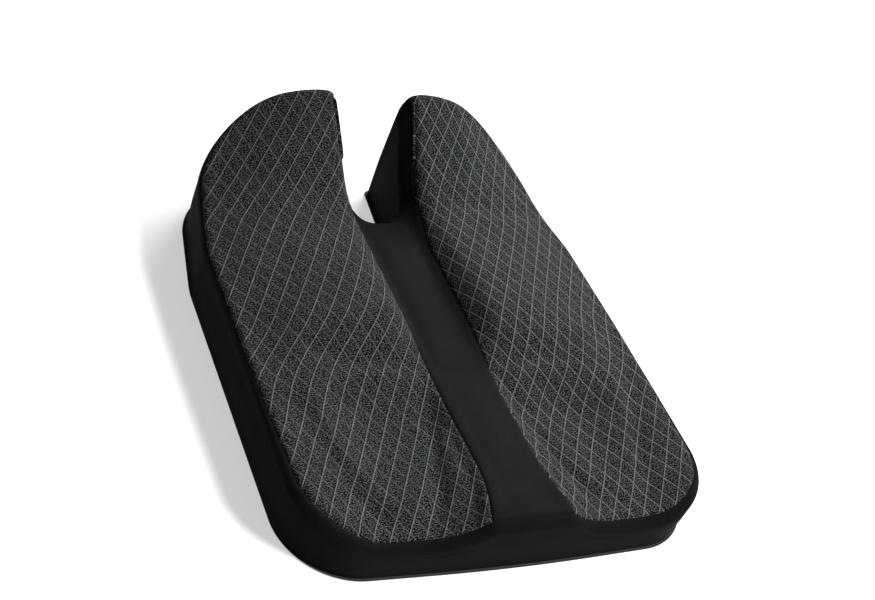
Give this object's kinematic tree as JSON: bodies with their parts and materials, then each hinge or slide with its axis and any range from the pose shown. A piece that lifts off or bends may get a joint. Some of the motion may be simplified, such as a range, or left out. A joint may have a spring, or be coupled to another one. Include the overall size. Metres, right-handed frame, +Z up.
{
  "type": "seat cushion",
  "caption": "Contoured foam seat cushion with a tailbone notch, raised rear lobes, a front pommel and a zipped fabric cover.",
  "frame": {"origin": "under the middle of the cushion, on the surface it rests on", "axes": "+X to the sitter's right, +Y to the rear, where the notch opens, +Z up"},
  "size_m": [0.3887, 0.4554, 0.1253],
  "materials": {
    "jacquard": "matte",
    "smooth_fabric": "matte",
    "grip_fabric": "matte",
    "foam": "matte",
    "zip_tape": "matte",
    "zip_teeth": "satin",
    "zip_metal": "satin"
  },
  "bodies": {
    "cushion": {"bottom_panel": "grip_fabric", "foam_core": "foam", "right_panel": "jacquard", "left_panel": "jacquard", "centre_strip": "smooth_fabric", "cutout_band_right": "smooth_fabric", "cutout_band_left": "smooth_fabric", "outer_band": "smooth_fabric", "zip_tape_upper": "zip_tape", "zip_tape_lower": "zip_tape", "zip_teeth_upper": "zip_teeth", "zip_teeth_lower": "zip_teeth", "zip_top_stop_upper": "zip_teeth", "zip_top_stop_lower": "zip_teeth", "zip_bottom_stop": "zip_teeth"},
    "slider": {"zip_slider": "zip_metal"},
    "pull": {"zip_pull": "zip_metal"}
  },
  "joints": [
    {"name": "zip_slide", "type": "slide", "parent": "cushion", "child": "slider", "axis": [-0.0276, 0.9996, 0], "range_m": [0, 0.188], "deforming": ["zip_teeth_upper", "zip_teeth_lower"]},
    {"name": "zip_pull_flip", "type": "hinge", "parent": "slider", "child": "pull", "pos_m": [0.19437, -0.13595, 0.0155], "axis": [0, 0, -1], "range_deg": [0, 180]}
  ]
}
